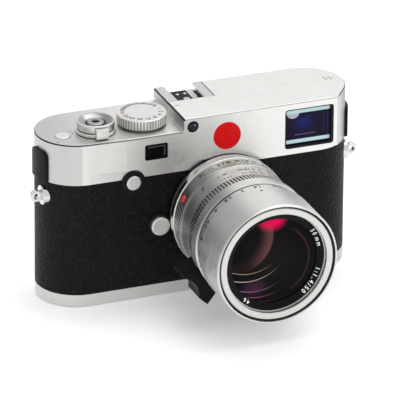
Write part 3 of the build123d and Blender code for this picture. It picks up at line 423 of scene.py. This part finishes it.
def window_glass(name, colour, bar_reflection, half_round_reflection):
    """Coated finder glass: deep blue, with pale bars above and below and a soft half-round glint, both
    painted reflections.
    """
    low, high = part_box("finder_window")
    left, right, bottom, top = low.x / MM, high.x / MM, low.z / MM, high.z / MM
    finish = Finish(name, colour, roughness=0.05, specular=0.08)
    x, z = finish.axis("X"), finish.axis("Z")
    drift = finish.spread(finish.noise(120.0), 0.3, 0.75)
    finish.tint(drift, (colour[0] * 1.6, colour[1] * 1.3, colour[2] * 1.2))
    wide_patch = finish.band(x, left + 7.0, left + 9.0, 6.0)
    tall_patch = finish.band(z, top - 7.0, top - 6.0, 5.0)
    blue_patch = finish.math("POWER", finish.times(wide_patch, tall_patch), 1.5)
    finish.tint(finish.times(blue_patch, 0.8), (0.012, 0.016, 0.13))

    tall = finish.band(z, bottom + 5.0, top - 3.2, 0.4)
    inner_line = finish.times(finish.band(x, right - 3.1, right - 2.9, 0.15), tall)
    outer_line = finish.band(x, right - 1.3, right - 0.9, 0.2)
    finish.tint(finish.times(finish.math("MAXIMUM", inner_line, outer_line), 0.4), (0.03, 0.03, 0.13))
    wide = finish.band(x, left + 4.4, right - 7.0, 0.3)
    dash = finish.times(finish.band(z, bottom + 4.4, bottom + 4.6, 0.12), wide)
    finish.tint(finish.times(dash, 0.6), (0.2, 0.2, 0.45))

    # painted reflection: a soft half-round glint near the upper left
    across = finish.math("DIVIDE", finish.math("SUBTRACT", x, left + 3.4), 2.9)
    along = finish.math("DIVIDE", finish.math("SUBTRACT", z, top - 2.0), 2.3)
    ellipse = finish.math("ADD", finish.math("POWER", across, 2.0), finish.math("POWER", along, 2.0))
    glint = finish.spread(ellipse, 0.8, 1.05, 1.0, 0.0, smooth=True)
    finish.tint(finish.times(glint, 0.75), half_round_reflection)
    # painted reflections: pale bars above and below
    upper = finish.band(z, top - 1.9, top - 0.5, 0.25)
    lower = finish.band(z, bottom + 0.9, bottom + 2.3, 0.25)
    finish.tint(finish.times(finish.math("MAXIMUM", upper, lower), 0.92), bar_reflection)
    left_rim = finish.spread(x, left, left + 0.5, 1.0, 0.0)
    right_rim = finish.spread(x, right - 0.5, right)
    return finish.tint(finish.times(finish.math("MAXIMUM", left_rim, right_rim), 0.9), (0.004, 0.004, 0.006))


def plain_glass(name, colour, tint, roughness=0.06, specular=0.35):
    """A dark coated window: nearly black with a faint coloured drift."""
    finish = Finish(name, colour, roughness=roughness, specular=specular)
    finish.tint(finish.spread(finish.noise(150.0), 0.35, 0.75), tint)
    return finish.rough(finish.spread(finish.noise(600.0), 0.3, 0.7, roughness * 0.7, roughness * 1.5))


def range_glass():
    """Small rangefinder window: black glass with the paler inner frame showing at the top and the right."""
    low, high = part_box("range_window")
    finish = plain_glass("range_window_glass", (0.002, 0.002, 0.0022), (0.004, 0.005, 0.006), 0.08, 0.1)
    x, z = finish.axis("X"), finish.axis("Z")
    tall = finish.band(z, low.z / MM + 1.2, high.z / MM - 1.0, 0.1)
    wide = finish.band(x, low.x / MM + 1.4, high.x / MM - 1.0, 0.1)
    right = finish.times(finish.band(x, high.x / MM - 1.5, high.x / MM - 1.1, 0.15), tall)
    upper = finish.times(finish.band(z, high.z / MM - 1.5, high.z / MM - 1.1, 0.15), wide)
    return finish.tint(finish.math("MAXIMUM", right, upper), (0.06, 0.065, 0.065))


def lens_glass():
    """Deep coated optics with painted reflections: a crimson patch under the top rim, a rosy crescent and
    arcs at the lower left.
    """
    finish = Finish("lens_glass", (0.0028, 0.0024, 0.003), roughness=0.04, specular=0.05)
    x, z = finish.axis("X"), finish.offset("Z", LENS_Z)

    def distance(at_x, at_z, squash=1.0):
        """Distance from a point of the glass, with heights stretched by squash."""
        return finish.reach(
            finish.math("SUBTRACT", x, at_x), finish.times(finish.math("SUBTRACT", z, at_z), squash)
        )

    # painted reflections in the coated glass: a lighter middle, the crescent, the arcs and a magenta patch at
    # the lower left, the crimson patch at the top and a faint arc on the right
    finish.tint(finish.spread(distance(-2.0, 1.0), 2.0, 17.0, 0.6, 0.0, smooth=True), (0.010, 0.009, 0.007))
    inner = distance(-17.5, 13.5)
    falling = finish.spread(inner, 10.0, 16.6, smooth=True)
    crescent = finish.times(falling, finish.spread(inner, 16.6, 17.2, 1.0, 0.0))
    right_part = finish.spread(x, -13.0, -2.0, 0.1, 1.0, smooth=True)
    finish.tint(finish.times(crescent, right_part, 0.62), (0.17, 0.07, 0.075))
    lower = finish.spread(z, 2.0, -4.0, smooth=True)
    low_left = finish.times(finish.spread(x, 4.0, -13.0, smooth=True), lower)
    for at_x, at_z, radius, width, colour in (
        (-12.0, 14.0, 18.0, 0.12, (0.55, 0.40, 0.32)),
        (-12.0, 12.0, 19.6, 0.16, (0.75, 0.62, 0.56)),
        (-9.0, 8.0, 20.6, 0.2, (0.40, 0.20, 0.33)),
        (-7.0, 6.0, 21.6, 0.3, (0.26, 0.09, 0.17)),
        (-4.0, 3.0, 21.2, 0.4, (0.10, 0.03, 0.06)),
    ):
        arc = finish.band(distance(at_x, at_z), radius - width / 2, radius + width / 2, width)
        finish.tint(finish.times(arc, low_left, 0.75), colour)
    magenta_reflection = finish.spread(distance(-9.0, -11.0, 1.4), 1.0, 7.5, 0.42, 0.0, smooth=True)
    finish.tint(magenta_reflection, (0.085, 0.03, 0.075))
    top = finish.spread(distance(-1.0, 20.0, 1.15), 3.2, 8.2, 1.0, 0.0, smooth=True)
    finish.tint(top, (0.80, 0.004, 0.09))
    rim_arc = finish.band(distance(0.0, 0.0), 15.4, 15.7, 0.5)
    right_side = finish.spread(x, 4.0, 13.0, smooth=True)
    return finish.tint(finish.times(rim_arc, right_side, 0.16), (0.22, 0.08, 0.08))


def circuit():
    """Green circuit board with paler soldered dots."""
    finish = dull("circuit_board", (0.01, 0.09, 0.03), 0.45, 0.4)
    return finish.tint(finish.spread(finish.cells(600.0), 0.1, 0.2, 0.6, 0.0), (0.35, 0.24, 0.08))


finishes = {
    "satin_chrome": metal("satin_chrome", CHROME, 0.3),
    "satin_steel": metal("satin_steel", (0.74, 0.73, 0.715), 0.32),
    "bright_steel": metal("bright_steel", (0.66, 0.655, 0.645), 0.2, depth=0.0006, wear=0.2),
    "silver_anodised": metal("silver_anodised", LENS_SATIN, 0.44),
    "black_anodised": dull("black_anodised", (0.004, 0.004, 0.0045), 0.42, 0.09),
    "black_casting": dull("black_casting", (0.006, 0.006, 0.0065), 0.5, 0.15, depth=0.02),
    "black_metal": dull("black_metal", (0.004, 0.004, 0.0045), 0.34, 0.14),
    "blackened_steel": dull("blackened_steel", (0.012, 0.012, 0.012), 0.45, 0.4),
    "leatherette": leather(),
    "black_plastic": dull("black_plastic", (0.004, 0.004, 0.0045), 0.38, 0.1),
    "red_enamel": enamel(),
    "brass": metal("brass", (0.72, 0.53, 0.26), 0.3),
    "coated_glass": window_glass(
        "finder_glass", (0.006, 0.005, 0.022), bar_reflection=(0.60, 0.83, 0.84), half_round_reflection=(0.60, 0.66, 0.70)
    ),
    "lens_glass": lens_glass(),
    "dark_glass": plain_glass("dark_glass", (0.003, 0.004, 0.005), (0.006, 0.010, 0.012)),
    "sensor_ceramic": plain_glass("sensor_ceramic", (0.05, 0.09, 0.08), (0.09, 0.14, 0.12), 0.3),
    "circuit_board": circuit(),
}


focus_satin = metal("focus_ring_satin", LENS_SATIN, 0.46)
aperture_satin = metal("aperture_ring_satin", LENS_SATIN, 0.42)
barrel_satin = metal("lens_barrel_satin", LENS_SATIN, 0.44)
own_finish = {
    "shoe_insulator": insulator(),
    "top_cover": cover_chrome(),
    "chassis": chassis_casting(),
    "speed_dial": dial_chrome(),
    "focus_ring": grooved(focus_satin, 25.15, -48.4, -41.5, slope=0.15, shade=0.72),
    "aperture_ring": grooved(aperture_satin, 25.55, -57.6, -53.7),
    "lens_barrel": grooved(barrel_satin, 25.3, -32.6, -25.3, shade=0.85),
    "base_plate": base_chrome(),
    "release_collar": collar_chrome(),
    "release_button": button_chrome(),
    "lens_release_button": metal("lens_release_satin", (0.84, 0.83, 0.81), 0.5),
    "hood": ring_shade(metal("hood_satin", LENS_SATIN, 0.42, wear=0.6), 0.42),
    "range_window": range_glass(),
    "light_sensor": sensor_dome(),
}
for node_name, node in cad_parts.items():
    for slot in node.material_slots:
        slot_name = slot.material.name.split(".")[0]
        slot.material = own_finish.get(node_name, finishes[slot_name]).material
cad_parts["front_badge"].visible_glossy = False  # keeps the badge's red out of the lens rings


# ---------------------------------------------------------------- engraved numbers and marks
ink = dull("engraving_ink", (0.008, 0.008, 0.008), 0.7, 0.05, worn=(0.02, 0.02, 0.02))
red_ink = dull("red_engraving_ink", (0.30, 0.045, 0.03), 0.7, 0.05, worn=(0.4, 0.1, 0.08))
foot_ink = dull("foot_engraving_ink", (0.15, 0.06, 0.05), 0.7, 0.05, worn=(0.2, 0.1, 0.08))
white_ink = dull("white_engraving_ink", (0.86, 0.86, 0.85), 0.6, 0.2, worn=(0.9, 0.9, 0.9))
grey_ink = dull("grey_engraving_ink", (0.035, 0.035, 0.037), 0.7, 0.05)


def digits(text, height):
    """Flat outlines of some figures of the given cap height, centred, in millimetres."""
    curve = bpy.data.curves.new("figures", "FONT")
    curve.body = text
    cap_share = 0.72  # cap height of the font as a share of its size
    curve.size = height / cap_share
    curve.align_x = "CENTER"
    curve.align_y = "CENTER"
    curve.resolution_u = 3
    curve.offset = height * 0.022
    holder = bpy.data.objects.new("figures", curve)
    scene.collection.objects.link(holder)
    outline = bpy.data.meshes.new_from_object(holder)
    bpy.data.objects.remove(holder)
    work = bmesh.new()
    work.from_mesh(outline)
    bpy.data.meshes.remove(outline)
    return work


def strokes(points, width):
    """A flat line of the given width through (u, v) points, cut short enough to wrap round a ring."""
    longest = 0.6
    work = bmesh.new()
    for (u0, v0), (u1, v1) in zip(points, points[1:]):
        start, end = Vector((u0, v0, 0)), Vector((u1, v1, 0))
        side = Vector((-(v1 - v0), u1 - u0, 0)).normalized() * width / 2
        count = max(1, int((end - start).length / longest))
        rows = []
        for step in range(count + 1):
            middle = start.lerp(end, step / count)
            rows.append((work.verts.new(middle - side), work.verts.new(middle + side)))
        for (a, b), (c, d) in zip(rows, rows[1:]):
            work.faces.new((a, c, d, b))
    return work


def spot(radius, count=20):
    """A flat filled disc."""
    work = bmesh.new()
    bmesh.ops.create_circle(work, cap_ends=True, segments=count, radius=radius)
    return work


def hoop(radius, width, u=0.0):
    """A flat ring drawn with a line."""
    turns = [2 * pi * step / 20 for step in range(21)]
    return strokes([(u + radius * cos(t), radius * sin(t)) for t in turns], width)


class Marks:
    """Collects flat figures, lays each on a surface and makes one object of them."""

    def __init__(self, name, finish, body):
        self.name, self.finish, self.body = name, finish, body
        self.mesh = bmesh.new()

    def add(self, work, place):
        """place turns a flat (u, v) point into a point of the surface, in millimetres."""
        for vertex in work.verts:
            vertex.co = Vector(place(vertex.co.x, vertex.co.y)) * MM
        part = bpy.data.meshes.new("part")
        work.to_mesh(part)
        work.free()
        self.mesh.from_mesh(part)
        bpy.data.meshes.remove(part)

    def done(self):
        mesh = bpy.data.meshes.new(self.name)
        self.mesh.to_mesh(mesh)
        self.mesh.free()
        mesh.materials.append(self.finish.material)
        piece = bpy.data.objects.new(self.name, mesh)
        scene.collection.objects.link(piece)
        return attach(piece, self.body)


def on_ring(radius, angle, station):
    """Places figures on a ring of the lens, read from behind the camera. Angle is from the top towards +X."""

    def place(u, v):
        turn = radians(angle) - u / radius
        reach = radius + INK_LIFT
        return reach * sin(turn), station - v, LENS_Z + reach * cos(turn)

    return place


def depth_marks():
    """Depth of field scale: an index line, and figures on both sides with bent lines to their place."""
    depth = Marks("depth_scale", ink, "lens_barrel")
    figure_row, line_row = -27.4, -29.9
    ends = {"4": 2.2, "5.6": 3.6, "8": 5.3, "11": 7.6, "16": 11.0}
    for side, angles in ((-1, (-3.4, -7.8, -14.4, -23.0, -33.6)), (1, (3.4, 7.8, 14.7, 22.6, 34.0))):
        for angle, (text, end) in zip(angles, ends.items()):
            depth.add(digits(text, 1.9), on_ring(BARREL_R, angle, figure_row))
            begin = -0.93 * radians(angle - side * end) * BARREL_R
            bent_line = strokes([(begin, -1.2), (0, 1.2), (0, 2.2)], 0.2)
            depth.add(bent_line, on_ring(BARREL_R, side * end, line_row))
    depth.add(strokes([(0, -0.9), (0, 1.9)], 0.28), on_ring(BARREL_R, 0, line_row))
    depth.add(spot(0.55, 3), on_ring(BARREL_R, 0, line_row + 0.5))
    depth.done()


def infinity(marks, half, width, angle, station):
    """Two hoops side by side."""
    for loop in (-half, half):
        marks.add(hoop(half - 0.07, width, loop), on_ring(SCALE_R, angle, station))


def metre_marks():
    """Distances in metres with their ticks, and a dot and an arrow left of them."""
    metres = Marks("metre_scale", ink, "focus_ring")
    figure_row, tick_row = -36.5, -34.4
    infinity(metres, 0.62, 0.26, 0, figure_row)
    distances = (10, 5, 3, 2, 1.5, 1.2, 1, 0.9, 0.8, 0.7)
    turned = (6.8, 13.1, 19.9, 30.0, 40.5, 51.0, 61.5, 69.5, 79.0, 90.0)
    for number, angle in zip(distances, turned):
        metres.add(digits(f"{number:g}", 2.0), on_ring(SCALE_R, angle, figure_row))
    metres.add(digits("m", 1.9), on_ring(SCALE_R, -16.3, figure_row))
    metres.add(spot(0.4), on_ring(SCALE_R, -23.0, figure_row))
    for tick in (0, *turned):
        metres.add(strokes([(0, -0.45), (0, 0.45)], 0.18), on_ring(SCALE_R, tick, tick_row))
    metres.add(spot(0.75, 3), on_ring(SCALE_R, -40.7, -35.8))
    metres.add(strokes([(-0.55, -0.9), (0.75, 0.9)], 0.45), on_ring(SCALE_R, -41.6, -36.3))
    metres.done()


def foot_marks():
    """Distances in feet, fainter, in front of the metres."""
    feet = Marks("foot_scale", foot_ink, "focus_ring")
    figure_row = -39.7
    infinity(feet, 0.55, 0.24, 1.2, figure_row - 0.2)
    distances = (30, 15, 10, 7, 5, 4, 3.5, 3, 2.7, 2.5)
    turned = (8.3, 13.6, 20.1, 27.5, 37.0, 46.0, 53.0, 62.0, 71.0, 77.5)
    for number, angle in zip(distances, turned):
        feet.add(digits(f"{number:g}", 1.7), on_ring(SCALE_R, angle, figure_row))
    feet.add(digits("f e e t", 1.5), on_ring(SCALE_R, -18.0, figure_row - 0.2))
    feet.done()


def aperture_marks():
    """Stops round the aperture ring and their index dot on the hood."""
    stops = Marks("aperture_scale", ink, "aperture_ring")
    for index, text in enumerate(("1.4", "2", "2.8", "4", "5.6", "8", "11", "16")):
        stops.add(digits(text, 2.1), on_ring(APERTURE_R, -15.4 * index, -55.6))
    stops.done()

    index_dot = Marks("aperture_index", ink, "hood")
    index_dot.add(spot(0.55), on_ring(HOOD_R, -1.7, -62.1))
    index_dot.done()


def front_marks():
    """Focal length, aperture and filter size on the sloping ring round the front glass."""
    ring = Marks("lens_figures", white_ink, "front_group")
    low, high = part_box("name_ring")
    slope_front = low.y / MM
    slope_rear = slope_front + 1.1
    outer_r, inner_r = high.x / MM - 0.4, 19.05
    text_r = (outer_r + inner_r) / 2

    def on_cone(angle):
        """Places figures with their tops outwards, read clockwise; angle is from the top."""

        def place(u, v):
            reach = text_r + v
            turn = radians(angle) + u / text_r
            share = (outer_r - reach) / (outer_r - inner_r)
            station = slope_front + (slope_rear - slope_front) * share - INK_LIFT
            return reach * sin(turn), station, LENS_Z + reach * cos(turn)

        return place

    for angle, text in ((66, "5 0  m m"), (124, "1 : 1 . 4 / 5 0"), (218, "4 6")):
        ring.add(digits(text, 1.75), on_cone(angle))
    ring.done()


def on_deck(x, y, height, heading=0.0):
    """Places figures flat on a level surface; heading 180 is read from the front."""
    c, s = cos(radians(heading)), sin(radians(heading))
    return lambda u, v: (x + u * c - v * s, y + u * s + v * c, height + INK_LIFT)


def deck_position(middle, radius, heading):
    """A point at a radius and a heading in degrees from a middle point of the deck."""
    return middle[0] + radius * cos(radians(heading)), middle[1] + radius * sin(radians(heading))


def dial_marks(middle, face):
    """Speeds round the top of the dial, read from outside, with the automatic setting in red."""
    dial = Marks("speed_figures", grey_ink, "speed_dial")
    red = Marks("speed_figures_red", red_ink, "speed_dial")
    speeds = ("4000", "2000", "1000", "500", "250", "A", "125", "60", "30", "15", "8", "4", "2", "1", "B")
    for index, text in enumerate(speeds):
        heading = 52.0 + 24.0 * index
        height = 1.45 if len(text) > 3 else 1.8
        marks = red if text == "A" else dial
        marks.add(digits(text, height), on_deck(*deck_position(middle, 8.3, heading), face, heading + 90))
    red.add(spot(0.5), on_deck(*deck_position(middle, 8.9, degrees(0.69)), face))
    dial.done()
    red.done()


def deck_marks(dial_middle):
    """Index marks on the deck and the hump, and the microphone holes."""
    deck = Marks("deck_marks", grey_ink, "camera_body")
    deck.add(strokes([(-1.2, 0), (1.2, 0)], 0.3), on_deck(-16.1, -3.4, COVER_TOP))
    for hole in ((53.4, 2.7), (53.9, 0.95), (55.5, 2.5), (56.0, 0.8)):
        deck.add(spot(0.42), on_deck(*hole, COVER_TOP))
    low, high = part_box("release_collar")
    collar = (low.x + high.x) / 2 / MM, (low.y + high.y) / 2 / MM
    for heading in (176, 202, 228):
        deck.add(spot(0.38), on_deck(*deck_position(collar, 10.2, heading), DECK_TOP))
    deck.add(strokes([(-0.7, 0), (0.7, 0)], 0.3), on_deck(collar[0] - 10.3, collar[1] + 3.4, DECK_TOP, 30))
    low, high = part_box("movie_button")
    deck.add(spot(0.35), on_deck(low.x / MM - 0.2, low.y / MM - 1.6, DECK_TOP))
    deck.add(spot(0.4), on_deck(dial_middle[0] + 11.9, dial_middle[1] + 2.2, DECK_TOP))
    deck.done()


def top_marks():
    """All marks seen from above."""
    low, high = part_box("speed_dial")
    middle = (low.x + high.x) / 2 / MM, (low.y + high.y) / 2 / MM
    dial_marks(middle, high.z / MM)
    deck_marks(middle)


# ---------------------------------------------------------------- small solid pieces
def turned_piece(name, outline, finish, body, origin, towards, segments=48):
    """A solid turned about the line from origin towards a direction; outline holds (radius, height) in mm."""
    work = bmesh.new()
    rows = []
    for radius, height in outline:
        if radius < 1e-6:
            rows.append([work.verts.new((0, 0, height * MM))])
            continue
        turns = [2 * pi * step / segments for step in range(segments)]
        circle = [Vector((radius * cos(t), radius * sin(t), height)) * MM for t in turns]
        rows.append([work.verts.new(point) for point in circle])
    for lower, upper in zip(rows, rows[1:]):
        for step in range(segments):
            following = (step + 1) % segments
            corners = [lower[step % len(lower)], lower[following % len(lower)]]
            corners += [upper[following % len(upper)], upper[step % len(upper)]]
            unique = list(dict.fromkeys(corners))
            if len(unique) > 2:
                work.faces.new(unique)
    bmesh.ops.recalc_face_normals(work, faces=work.faces)
    mesh = bpy.data.meshes.new(name)
    work.to_mesh(mesh)
    work.free()
    mesh.polygons.foreach_set("use_smooth", [True] * len(mesh.polygons))
    mesh.materials.append(finish.material)
    piece = bpy.data.objects.new(name, mesh)
    scene.collection.objects.link(piece)
    turn = Vector(towards).to_track_quat("Z", "Y").to_matrix().to_4x4()
    piece.matrix_world = Matrix.Translation(Vector(origin) * MM) @ turn
    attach(piece, body)
    return piece


def index_bead():
    """Glossy red bead on the upper left of the lens, near the body."""
    gloss_red = Finish("index_bead_red", (0.62, 0.004, 0.006), roughness=0.12, specular=0.6)
    gloss_red.tint(gloss_red.spread(gloss_red.noise(900.0), 0.4, 0.7, 0.0, 0.5), (0.5, 0.003, 0.004))
    bead_turn = radians(-61.9)
    outward = (sin(bead_turn), 0, cos(bead_turn))
    seat_r, station = 25.1, -28.1
    seat = [seat_r * outward[0], station, LENS_Z + seat_r * outward[2]]
    radius, skirt, rise, steps = 1.62, 0.3, 0.95, 8
    turns = [pi / 2 * step / steps for step in range(steps)]
    dome = [(radius * cos(t), skirt + rise * sin(t)) for t in turns]
    outline = [(radius, 0)] + dome + [(0, skirt + rise)]
    turned_piece("index_bead", outline, gloss_red, "lens_barrel", seat, outward)


def shoe_contacts():
    """One large and two small contact discs on the shoe's pad."""
    contact = metal("contact_metal", (0.62, 0.61, 0.59), 0.25)
    low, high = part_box("shoe_insulator")
    middle = (low.x + high.x) / 2 / MM
    pad_rear, pad_top = high.y / MM, 77.12
    disc = [(0.86, 0), (1, 0.2), (1, 0.28), (0.9, 0.36), (0.4, 0.38), (0, 0.34)]
    spots = (
        ("contact_front", 0.6, -9.6, 1.45),
        ("contact_rear_left", -1.6, -4.2, 0.75),
        ("contact_rear_right", 1.7, -4.2, 0.75),
    )
    for name, dx, dy, radius in spots:
        outline = [(share * radius, height) for share, height in disc]
        seat = (middle + dx, pad_rear + dy, pad_top - 0.05)
        turned_piece(name, outline, contact, "camera_body", seat, (0, 0, 1))


def base_screws():
    """Two small screw heads with a round recess, level with the underside of the base plate."""
    screw = metal("screw_steel", (0.7, 0.69, 0.68), 0.22)
    outline = [(1.1, 0), (1.2, 0.06), (1.2, 0.12), (1.05, 0.2), (0.3, 0.2), (0.25, 0.02), (0, 0.02)]
    for index, x in enumerate((-70.5, 56.0)):
        turned_piece(f"base_screw_{index + 1}", outline, screw, "base_plate", (x, 0, 0.2), (0, 0, -1))


depth_marks()
metre_marks()
foot_marks()
aperture_marks()
front_marks()
top_marks()


# ---------------------------------------------------------------- studio
def key_light():
    """A large soft light almost straight above the camera."""
    light = bpy.data.lights.new("key", "AREA")
    light.shape = "RECTANGLE"
    light.size = light.size_y = 1.3
    light.energy = 9
    lamp = bpy.data.objects.new("key", light)
    scene.collection.objects.link(lamp)
    place, target = Vector((0.4, 0.2, 1.3)), Vector((0, 0, 0.03))
    lamp.location = place
    lamp.rotation_euler = (target - place).to_track_quat("-Z", "Y").to_euler()


def pale_floor():
    """A plain white floor that glows a little, so that the camera's shadow stays light."""
    finish = Finish("studio_floor", (0.93, 0.93, 0.93), roughness=0.85, specular=0.1)
    finish.tint(finish.spread(finish.noise(1.5), 0.3, 0.7, 0.0, 0.3), (0.94, 0.94, 0.94))
    finish.shader.inputs["Emission Color"].default_value = (1.0, 1.0, 1.0, 1.0)
    finish.shader.inputs["Emission Strength"].default_value = 0.14
    work = bmesh.new()
    bmesh.ops.create_grid(work, x_segments=8, y_segments=8, size=5.0)
    mesh = bpy.data.meshes.new("floor")
    work.to_mesh(mesh)
    work.free()
    mesh.materials.append(finish.material)
    floor = bpy.data.objects.new("floor", mesh)
    scene.collection.objects.link(floor)
    floor.location.z = -0.0001


def studio():
    """An even white surround, the key light and the floor."""
    world = bpy.data.worlds.new("studio")
    scene.world = world
    world.use_nodes = True
    background = world.node_tree.nodes["Background"]
    background.inputs["Color"].default_value = (1.0, 1.0, 1.0, 1.0)
    background.inputs["Strength"].default_value = 0.92
    key_light()
    pale_floor()


def camera():
    """The photograph's viewpoint: a long lens, slightly above and to the left, rolled a little."""
    place, aim = Vector((-0.8165, -2.0728, 1.0423)), Vector((-0.00974, -0.015, 0.04023))
    forward = (aim - place).normalized()
    right = forward.cross(Vector((0, 0, 1))).normalized()
    up = right.cross(forward)
    roll = radians(0.40)
    right, up = cos(roll) * right + sin(roll) * up, cos(roll) * up - sin(roll) * right
    data = bpy.data.cameras.new("camera")
    data.lens, data.sensor_width = 516.4, 36.0
    data.clip_start, data.clip_end = 0.1, 20.0
    viewer = bpy.data.objects.new("camera", data)
    scene.collection.objects.link(viewer)
    axes = Matrix((right, up, -forward)).transposed().to_4x4()
    viewer.matrix_world = Matrix.Translation(place) @ axes
    scene.camera = viewer


index_bead()
shoe_contacts()
base_screws()
studio()
camera()
scene.view_settings.view_transform = "Standard"
